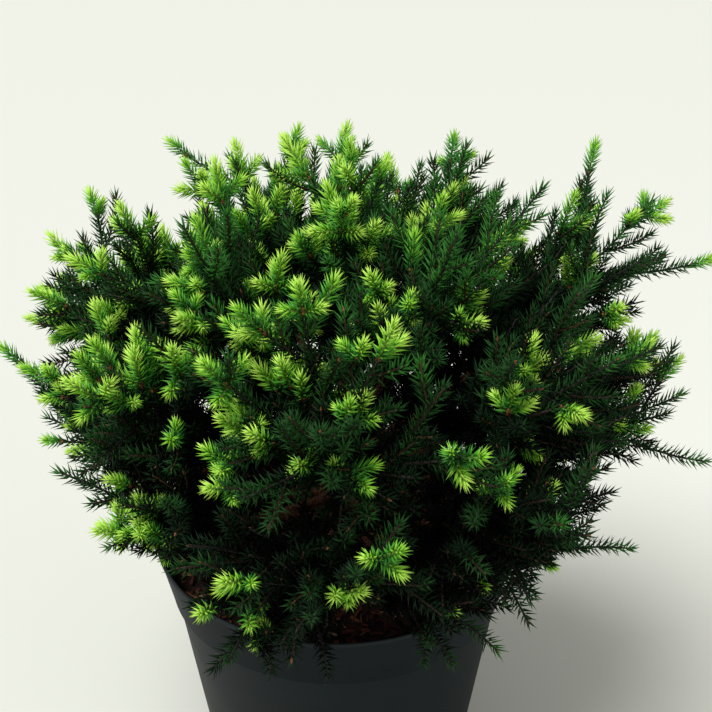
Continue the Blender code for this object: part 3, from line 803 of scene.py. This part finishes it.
def shoot_line(stem, tip, space):
    """A shoot leaves the stem where the way to its tip makes the leaving angle, then bends forward."""
    tip = space.moved_in(tip, TIP_FROM_WALL)
    ahead = np.gradient(stem, axis=0)
    ahead /= np.linalg.norm(ahead, axis=1)[:, None]
    way = tip - stem
    distance = np.linalg.norm(way, axis=1)
    cosine = (way * ahead).sum(axis=1) / distance
    choice = np.abs(cosine - math.cos(math.radians(LEAVING_ANGLE)))
    choice[: len(stem) // 12] = 9.0
    choice[-len(stem) // 8 :] = 9.0
    k = int(np.argmin(choice))
    side = unit(way[k] - ahead[k] * float(np.dot(way[k], ahead[k])))
    bend = space.moved_in(stem[k] + way[k] * 0.5 + side * distance[k] * 0.13, BEND_FROM_WALL)
    if math.hypot(bend[0], bend[1]) < RIM_RADIUS + 0.012:
        bend[2] = max(bend[2], POT_HEIGHT + 0.010)
    return bezier(stem[k], bend, tip)


def known_by_outline(tip):
    """Whether a tip belongs to one of the far shoots that the crown's outline is known by."""
    ends = np.array([HEART + heading(azimuth, elevation) * far for azimuth, elevation, far in FAR_SHOOTS])
    return bool(np.linalg.norm(ends - tip, axis=1).min() < 0.012)


class Twig:
    """One needled twig: its line, its rank from the stem outwards, and the length of its new growth."""

    def __init__(self, line, rank, group):
        self.line = line
        self.rank = rank
        self.group = group
        self.length = lengths_along(line)[-1]
        self.outward = unit(line[-1] - HEART)
        self.known = rank == 0 and known_by_outline(line[-1])
        self.depth = float(np.linalg.norm(line[-1] - HEART)) / reach(self.outward)
        self.elevation = math.degrees(math.asin(self.outward[2]))
        self.new_growth = 0.0


def side_line(parent, distance, turn, length, angle):
    """A twig that leaves its parent at a distance along it and bends towards the light."""
    spot, after = cut_line(parent.line, distance, distance + 0.002, 2)
    ahead = unit(after - spot)
    side = unit(np.cross(ahead, (0.12, 0.31, 0.94)))
    up = np.cross(side, ahead)
    out = math.cos(turn) * side + math.sin(turn) * up
    leave = ahead * math.cos(math.radians(angle)) + out * math.sin(math.radians(angle))
    goal = unit(leave + 0.8 * unit(spot - HEART) + np.array((0.0, 0.0, 0.10)))
    return bezier(spot, spot + leave * length * 0.5, spot + (leave * 0.5 + goal * 0.5) * length, 13)


def side_twigs(parent, space, chance):
    """The twigs along one parent, each shortened or dropped where it would leave the mass's space."""
    first = 0.16 if parent.rank == 0 else 0.34
    last = parent.length - (0.010 if parent.rank == 0 else 0.012)
    spacing = NODE_SPACING if parent.rank == 0 else NODE_SPACING * 1.15
    distance = first * parent.length
    turn = chance.uniform(0.0, math.tau)
    while distance < last:
        most = SIDE_MOST if parent.rank == 0 else 0.024
        length = min(most, (parent.length - distance) * SIDE_SHARE + SIDE_LEAST) * chance.uniform(0.75, 1.1)
        for shortened in (1.0, 0.75, 0.55):
            line = side_line(parent, distance, turn, length * shortened, SIDE_ANGLE + chance.uniform(-9, 9))
            tip = line[-1] - HEART
            fits = np.linalg.norm(tip) < reach(unit(tip)) * 0.94 and not under_crown(line[-1])
            if fits and space.holds(line[4::2], -0.0015, INTERLACING):
                yield Twig(line, parent.rank + 1, parent.group)
                break
        turn += math.radians(GOLDEN_ANGLE)
        distance += spacing * chance.uniform(0.8, 1.2)


def grown_twigs():
    """Every twig of the crown, from the stems and shoots of each mass to the twiglets."""
    grown = []
    for mass in masses:
        space = Space(mass)
        chance = random.Random(f"twigs of {mass.tier} {mass.number}")
        if mass.bough is not None:
            limb = Twig(cut_line(mass.bough, 0.0, lengths_along(mass.bough)[-1], 25), 0, mass.group)
            grown.extend(side_twigs(limb, space, chance))
        mains = [Twig(mass.stem, 0, mass.group)]
        for tip in mass.tips:
            if under_crown(tip) and not known_by_outline(tip):
                tip = np.array((tip[0], tip[1], underside(tip) + chance.uniform(0.002, 0.014)))
            line = shoot_line(mass.stem, tip, space)
            if space.holds(line[8:-1:2], TWIG_RADIUS):
                mains.append(Twig(line, 0, mass.group))
        for main in mains:
            for twig in side_twigs(main, space, chance):
                grown.append(twig)
                if twig.length > TWIGLET_FROM:
                    grown.extend(side_twigs(twig, space, chance))
        grown.extend(mains)
    return grown


def young_bark():
    """Bark of two and one year old twigs: thin and smooth, orange brown, painted darker inside the crown and below
    its middle as shade.
    """
    codes = ("130c08", "2d1b10", "4d311b", "6f8f3a")
    return [shaded(f"young_bark_{k + 1}", code, 0.7, 1.45)[0] for k, code in enumerate(codes)]


twigs = grown_twigs()
groups = {}
for mass in masses:
    groups.setdefault(mass.group, []).append(f"foliage_{mass.tier}_{mass.number}")

# New shoots are laid out here because the twigs end where they begin: this spring's soft growth, in
# sets of one to four at the twigs' ends, plenty at the top and on the outside and rare near the rim.
NEW_LENGTH = (0.014, 0.023)
BY_ELEVATION = ((-15, 0.04), (0, 0.09), (12, 0.18), (25, 0.38), (45, 0.56), (90, 0.66))
BY_RANK = (1.0, 0.42, 0.16)
KNOWN_FLUSH_FROM = 5.0
LATE_SIDE = heading(-30, 4)


class Brush:
    """One soft new shoot: its foot, its direction and its length."""

    def __init__(self, foot, direction, length, group, vigour):
        self.foot = foot
        self.direction = direction
        self.length = length
        self.group = group
        self.vigour = vigour


def flushing(twig, chance):
    """Whether a twig's end has broken into new growth this spring."""
    if twig.known:
        return twig.elevation > KNOWN_FLUSH_FROM
    share = float(np.interp(twig.elevation, *zip(*BY_ELEVATION)))
    outer = min(1.0, max(0.0, (twig.depth - 0.64) / 0.18))
    late = float(np.dot(twig.outward, LATE_SIDE))
    return chance.random() < share * outer * BY_RANK[twig.rank] * (1.08 - 0.62 * late)


def new_shoots():
    chance = random.Random(5)
    brushes = []
    for twig in twigs:
        if not flushing(twig, chance):
            continue
        small = float(np.interp(twig.elevation, (-4, 14), (0.5, 1.0)))
        length = chance.uniform(*NEW_LENGTH) * (1.0 if twig.rank < 2 else 0.85) * small
        length = min(length, twig.length * 0.55)
        twig.new_growth = length
        foot, tip = cut_line(twig.line, twig.length - length, twig.length, 2)
        ahead = unit(tip - foot)
        brushes.append(Brush(foot, ahead, length, twig.group, chance.random()))
        around = chance.uniform(0.0, math.tau)
        sides = (0, 1, 1) if small < 0.9 else (0, 1, 1, 2, 2) if twig.rank else (1, 2, 2, 3)
        for _ in range(chance.choice(sides)):
            around += math.radians(chance.uniform(100, 150))
            side = unit(np.cross(ahead, (0.2, 0.3, 0.93)))
            out = math.cos(around) * side + math.sin(around) * np.cross(side, ahead)
            spread = math.radians(chance.uniform(42, 62))
            way = unit(ahead * math.cos(spread) + out * math.sin(spread))
            start = foot - ahead * chance.uniform(0.0005, 0.003)
            end = start + way * length * 0.8 - HEART
            if np.linalg.norm(end) < reach(unit(end)) * 0.98 and not under_crown(end + HEART):
                brushes.append(Brush(start, way, length * chance.uniform(0.62, 0.88), twig.group, chance.random()))
    return brushes


brushes = new_shoots()
bark_colours_with_painted_shade = young_bark()


def twig_mesh(group):
    """Tapering twigs of one group, with the green axes of the new shoots."""
    old = [twig for twig in twigs if twig.group == group]
    lines = np.stack([cut_line(t.line, 0.0, t.length - t.new_growth, 5) for t in old])
    foot = np.array([(0.0011, 0.0008, 0.0006)[t.rank] for t in old])
    tip = np.array([(0.0007, 0.0006, 0.0005)[t.rank] for t in old])
    radii = foot[:, None] + (tip - foot)[:, None] * np.linspace(0, 1, 5)[None]
    points, faces, per_twig = tubes(lines, radii, 4)
    # Painted shade: the stems take the darkest bark, and the finest twigs take the palest only near the surface above
    # the middle, else one step darker.
    shade = [min(2, t.rank) if t.depth > 0.7 and t.elevation > 0 else min(1, t.rank) for t in old]
    which = np.repeat(shade, per_twig)
    new = [brush for brush in brushes if brush.group == group]
    axes = np.stack([np.stack([b.foot, b.foot + b.direction * b.length * 0.85]) for b in new])
    more, more_faces, per_axis = tubes(axes, np.tile((0.0007, 0.0004), (len(new), 1)), 4)
    which = np.concatenate([which, np.full(len(new) * per_axis, 3)])
    faces = np.concatenate([faces, more_faces + len(points)])
    mesh = triangle_mesh(f"twigs_{group}", np.concatenate([points, more]), faces, which)
    mesh.shade_smooth()
    return mesh


for group, nodes in groups.items():
    piece(f"twigs_{group}", twig_mesh(group), bark_colours_with_painted_shade, "spruce_needles", *nodes)

# Old needles
# Last year's and older leaves: stiff four-sided needles 8 to 9 mm long and 1 mm thick, dark green with a
# dull wax. They stand all round the twig on small pegs, lean forward and turn up towards the light.
OLD_THICK = 0.00125
OLD_SPACING = 0.00058
OLD_INSIDE = 0.70
OLD_PAINTED_LIGHT_STEPS = (0.83, 0.95, 1.09)
NEEDLE_FACES = np.array([(0, 2, 1), (0, 3, 2), (0, 1, 3), (1, 2, 4), (2, 3, 4), (3, 1, 4)])


def needles(feet, directions, lengths, thick, curl):
    """Many needles at once: three-sided, widest in the middle, sharp, and bent along the curl."""
    count = len(feet)
    rough = np.where(np.abs(directions[:, 2:]) < 0.9, (0.0, 0.0, 1.0), (1.0, 0.0, 0.0))
    side = np.cross(directions, rough)
    side /= np.linalg.norm(side, axis=1)[:, None]
    up = np.cross(directions, side)
    angles = np.array([0.0, math.tau / 3, 2 * math.tau / 3]) + 0.5
    spokes = side[:, None] * np.cos(angles)[None, :, None] + up[:, None] * np.sin(angles)[None, :, None]
    width = (thick / 2)[:, None, None]
    middle = feet + directions * lengths[:, None] * 0.30 - curl * lengths[:, None] * 0.03
    tip = feet + directions * lengths[:, None] + curl * lengths[:, None] * 0.12
    points = np.concatenate([feet[:, None], middle[:, None] + spokes * width, tip[:, None]], axis=1)
    faces = NEEDLE_FACES[None] + 5 * np.arange(count)[:, None, None]
    return points.reshape(-1, 3), faces.reshape(-1, 3)


def inner_needles(feet, directions, lengths, thick):
    """Needles in the shade inside the crown: plain three-sided spikes, a little thicker."""
    count = len(feet)
    side = np.cross(directions, (0.31, 0.12, 0.94))
    side /= np.linalg.norm(side, axis=1)[:, None]
    up = np.cross(directions, side)
    ring = [feet + side * math.cos(a) * thick / 2 + up * math.sin(a) * thick / 2 for a in (0.5, 2.6, 4.7)]
    points = np.stack([*ring, feet + directions * lengths[:, None]], axis=1)
    faces = np.array([(0, 1, 3), (1, 2, 3), (2, 0, 3)])[None] + 4 * np.arange(count)[:, None, None]
    return points.reshape(-1, 3), faces.reshape(-1, 3)


def along_many(twig, at):
    """Points and directions of a twig's line at many distances along it."""
    along = lengths_along(twig.line)
    points = np.stack([np.interp(at, along, twig.line[:, axis]) for axis in range(3)], axis=1)
    ahead = np.gradient(twig.line, axis=0)
    ways = np.stack([np.interp(at, along, ahead[:, axis]) for axis in range(3)], axis=1)
    return points, ways / np.linalg.norm(ways, axis=1)[:, None]


def spiral_needles(feet, ahead, lean, chance, lift):
    """Directions of needles set in a spiral round a twig, leaning forward and lifted to the light."""
    side = np.cross(ahead, (0.12, 0.31, 0.94))
    side /= np.linalg.norm(side, axis=1)[:, None]
    up = np.cross(side, ahead)
    turn = np.radians(GOLDEN_ANGLE) * np.arange(len(feet)) + chance.uniform(-0.25, 0.25, len(feet))
    out = side * np.cos(turn)[:, None] + up * np.sin(turn)[:, None]
    ways = ahead * np.cos(lean)[:, None] + out * np.sin(lean)[:, None] + np.array((0.0, 0.0, lift))
    return ways / np.linalg.norm(ways, axis=1)[:, None], out


def old_needle_mesh(group):
    chance = np.random.default_rng(len(group))
    feet, ways, curls, lengths, lights = [], [], [], [], []
    for twig in twigs:
        if twig.group != group:
            continue
        end = twig.length - twig.new_growth
        start = 0.002 if twig.rank else twig.length * 0.10
        at = np.arange(start, end, OLD_SPACING)
        if not len(at):
            continue
        points, ahead = along_many(twig, at)
        lean = np.radians(chance.uniform(48, 68, len(at)))
        lean = lean * np.interp(end - at, (0.0, 0.006), (0.45, 1.0))
        way, out = spiral_needles(points, ahead, lean, chance, 0.18)
        feet.append(points)
        ways.append(way)
        curls.append(ahead * 0.7 + np.array((0.0, 0.0, 0.5)))
        lengths.append(OLD_NEEDLE * chance.uniform(0.85, 1.05, len(at)) * np.interp(end - at, (0, 0.01), (0.8, 1)))
        # Painted shade and light: each needle's colour step comes from its depth in the crown plus a lift towards the
        # top, so inner needles are painted nearly black and upper outer ones bright.
        lights.append(np.linalg.norm(points - HEART, axis=1) / reach(twig.outward))
        lights[-1] = np.stack([lights[-1], lights[-1] + max(0.0, twig.elevation) / 260 + chance.normal(0, 0.05)], axis=1)
    feet, ways, curls = np.concatenate(feet), np.concatenate(ways), np.concatenate(curls)
    lengths, lights = np.concatenate(lengths), np.concatenate(lights)
    shades = np.digitize(lights[:, 1], OLD_PAINTED_LIGHT_STEPS)
    outer = lights[:, 0] > OLD_INSIDE
    inner = ~outer & (np.arange(len(feet)) % 5 > 0)
    thick = np.full(len(lengths), OLD_THICK)
    points, faces = needles(feet[outer], ways[outer], lengths[outer], thick[outer], curls[outer])
    more, more_faces = inner_needles(feet[inner], ways[inner], lengths[inner] * 1.15, OLD_THICK * 1.5)
    which = np.concatenate([shades[outer].repeat(6), shades[inner].repeat(3)])
    faces = np.concatenate([faces, more_faces + len(points)])
    mesh = triangle_mesh(f"old_needles_{group}", np.concatenate([points, more]), faces, which)
    mesh.shade_smooth()
    return mesh


def waxy(name, code, roughness, gloss):
    """One plain green under a bloom of wax, which keeps most of the skin's mirror gloss down."""
    material, shader = shaded(name, code, roughness, 1.42)
    shader.inputs["Specular IOR Level"].default_value = gloss
    return material


def old_needle_painted_shades():
    """Hardened needles: dark green under a thin dull wax, with painted shade in four steps, nearly black green deep
    inside the crown and brighter green towards the outside and the top.
    """
    codes = ("020703", "08200a", "174014", "2c6a20")
    return [waxy(f"old_needle_painted_shade_green_{k + 1}", code, 0.5, 0.06 + 0.06 * k) for k, code in enumerate(codes)]


old_needle_shade_greens = old_needle_painted_shades()
for group, nodes in groups.items():
    piece(f"old_needles_{group}", old_needle_mesh(group), old_needle_shade_greens, "spruce_needles", *nodes)

# New needles
# This spring's soft needles, set close round each new shoot and curving in at its end into a dome. They
# are thin-skinned and glossy, mid green at the shoot's foot and lime to pale yellow green at its tip.
NEW_NEEDLE = 0.0084
NEW_THICK = 0.0013
NEW_COUNT = 56


def new_needle_mesh(group):
    chance = np.random.default_rng(90 + len(group))
    feet, ways, curls, lengths, shades = [], [], [], [], []
    for brush in brushes:
        if brush.group != group:
            continue
        grown = brush.length / NEW_LENGTH[1]
        count = int(NEW_COUNT * (0.45 + 0.55 * grown))
        share = (np.arange(count) + 0.5) / count
        points = brush.foot + brush.direction * (brush.length * share)[:, None]
        ahead = np.broadcast_to(brush.direction, (count, 3))
        lean = np.radians(np.interp(share, (0.0, 0.5, 0.85, 1.0), (60, 50, 36, 10)))
        lean = lean + chance.normal(0, 0.07, count)
        way, out = spiral_needles(points, ahead, lean, chance, 0.04)
        feet.append(points)
        ways.append(way)
        curls.append(ahead * 0.9)
        size = NEW_NEEDLE * min(1.0, 0.35 + grown)
        lengths.append(size * np.interp(share, (0, 0.25, 0.7, 1), (0.72, 1.0, 1.0, 0.66)))
        bright = share * 0.75 + 0.42 * brush.vigour + chance.normal(0, 0.05, count)
        shades.append(np.digitize(bright, (0.28, 0.54, 0.78)))
    lengths = np.concatenate(lengths) * chance.uniform(0.9, 1.06, len(np.concatenate(lengths)))
    points, faces = needles(
        np.concatenate(feet), np.concatenate(ways), lengths, np.full(len(lengths), NEW_THICK), np.concatenate(curls)
    )
    mesh = triangle_mesh(f"new_needles_{group}", points, faces, np.concatenate(shades).repeat(6))
    mesh.shade_smooth()
    return mesh


def new_needle_finishes():
    """Soft new needles: moist and glossy, from fresh mid green to pale yellow green."""
    codes = ("2c7626", "539f2e", "8ccb3a", "bdea5e")
    return [waxy(f"new_needle_green_{k + 1}", code, 0.4, 0.25) for k, code in enumerate(codes)]


new_greens = new_needle_finishes()
for group, nodes in groups.items():
    piece(f"new_needles_{group}", new_needle_mesh(group), new_greens, "spruce_needles", *nodes)

# Buds
# Resting buds at the ends of twigs that haven't broken, and the cups of dry scales left at the foot of
# each new shoot: papery overlapping scales, orange brown, 2.5 to 3 mm across.
BUD_LENGTH = 0.0040
BUD_RADIUS = 0.00125
RESTING_SHARE = 0.4
BUD_PROFILE = ((0.0, 0.55), (0.22, 1.0), (0.25, 0.84), (0.48, 0.92), (0.51, 0.72), (0.76, 0.55), (1.0, 0.08))
CUP_PROFILE = ((0.0, 0.70), (0.30, 1.15), (0.55, 1.30), (0.62, 0.80))


def turned_buds(spots, ways, length, radius, profile):
    """Many small scaly bodies at once, each turned about its own direction from the same profile."""
    share = np.array([place for place, _ in profile])
    lines = spots[:, None] + ways[:, None] * (length[:, None] * share[None])[..., None]
    radii = radius[:, None] * np.array([wide for _, wide in profile])[None]
    return tubes(lines, radii, 5)


def bud_mesh(group):
    chance = np.random.default_rng(300 + len(group))
    ends = [t for t in twigs if t.group == group and not t.new_growth and t.depth > 0.72 and t.rank < 2]
    resting = [t for t in ends if chance.random() < RESTING_SHARE]
    spots = np.array([t.line[-1] for t in resting])
    ways = np.array([unit(t.line[-1] - t.line[-2]) for t in resting])
    size = chance.uniform(0.75, 1.1, len(resting))
    points, faces, per_bud = turned_buds(
        spots - ways * 0.001, ways, BUD_LENGTH * 0.7 * size, BUD_RADIUS * 0.7 * size, BUD_PROFILE
    )
    opened = [brush for brush in brushes if brush.group == group]
    feet = np.array([brush.foot - brush.direction * 0.0012 for brush in opened])
    out = np.array([brush.direction for brush in opened])
    size = chance.uniform(0.8, 1.2, len(opened))
    more, more_faces, per_cup = turned_buds(feet, out, BUD_LENGTH * size, BUD_RADIUS * size, CUP_PROFILE)
    which = np.concatenate(
        [chance.integers(0, 2, len(resting)).repeat(per_bud), chance.integers(0, 3, len(opened)).repeat(per_cup)]
    )
    faces = np.concatenate([faces, more_faces + len(points)])
    return triangle_mesh(f"buds_{group}", np.concatenate([points, more]), faces, which)


def bud_finishes():
    """Dry bud scales: papery and slightly resinous, from red brown to orange."""
    codes = ("4b2815", "70401f", "a2632f")
    return [shaded(f"bud_scale_{k + 1}", code, 0.55, 1.5)[0] for k, code in enumerate(codes)]


scales = bud_finishes()
for group, nodes in groups.items():
    piece(f"buds_{group}", bud_mesh(group), scales, "spruce_needles", *nodes)

# Studio
# A wide pale floor with soft light from the front left, a weaker fill from the right and an even pale
# surround. The camera stands in front of the pot and looks down on it.
CAMERA_PLACE = (0.012, -0.576, 0.608)
CAMERA_PITCH = 27.8
CAMERA_LENS = 55.6

floor_mesh = bpy.data.meshes.new("floor")
floor_mesh.from_pydata([(-9, -9, 0), (9, -9, 0), (9, 9, 0), (-9, 9, 0)], [], [(0, 1, 2, 3)])
floor = bpy.data.objects.new("floor", floor_mesh)
floor_mesh.materials.append(shaded("pale_floor", "dadcd3", 0.8)[0])
bpy.context.scene.collection.objects.link(floor)


def soft_light(name, place, target, size, power):
    light = bpy.data.lights.new(name, "AREA")
    light.shape = "DISK"
    light.size = size
    light.energy = power
    made = bpy.data.objects.new(name, light)
    made.location = place
    made.rotation_euler = (Vector(target) - Vector(place)).to_track_quat("-Z", "Y").to_euler()
    bpy.context.scene.collection.objects.link(made)


soft_light("fill_light", (1.4, -0.9, 0.9), (0, 0, 0.25), 1.2, 5)

sun = bpy.data.lights.new("key_light", "SUN")
sun.energy = 3.1
sun.angle = math.radians(42)
key = bpy.data.objects.new("key_light", sun)
key.rotation_euler = (Vector((0, 0, 0)) - Vector((-0.62, -0.28, 1.4))).to_track_quat("-Z", "Y").to_euler()
bpy.context.scene.collection.objects.link(key)

world = bpy.data.worlds.new("pale_surround")
world.use_nodes = True
world.node_tree.nodes["Background"].inputs["Color"].default_value = (1.0, 0.99, 0.96, 1.0)
world.node_tree.nodes["Background"].inputs["Strength"].default_value = 0.38
bpy.context.scene.world = world
bpy.context.scene.view_settings.view_transform = "Standard"

lens = bpy.data.cameras.new("camera")
lens.lens = CAMERA_LENS
lens.sensor_width = 36.0
lens.clip_start = 0.01
camera = bpy.data.objects.new("camera", lens)
camera.location = CAMERA_PLACE
camera.rotation_euler = (math.radians(90 - CAMERA_PITCH), 0.0, 0.0)
bpy.context.scene.collection.objects.link(camera)
bpy.context.scene.camera = camera
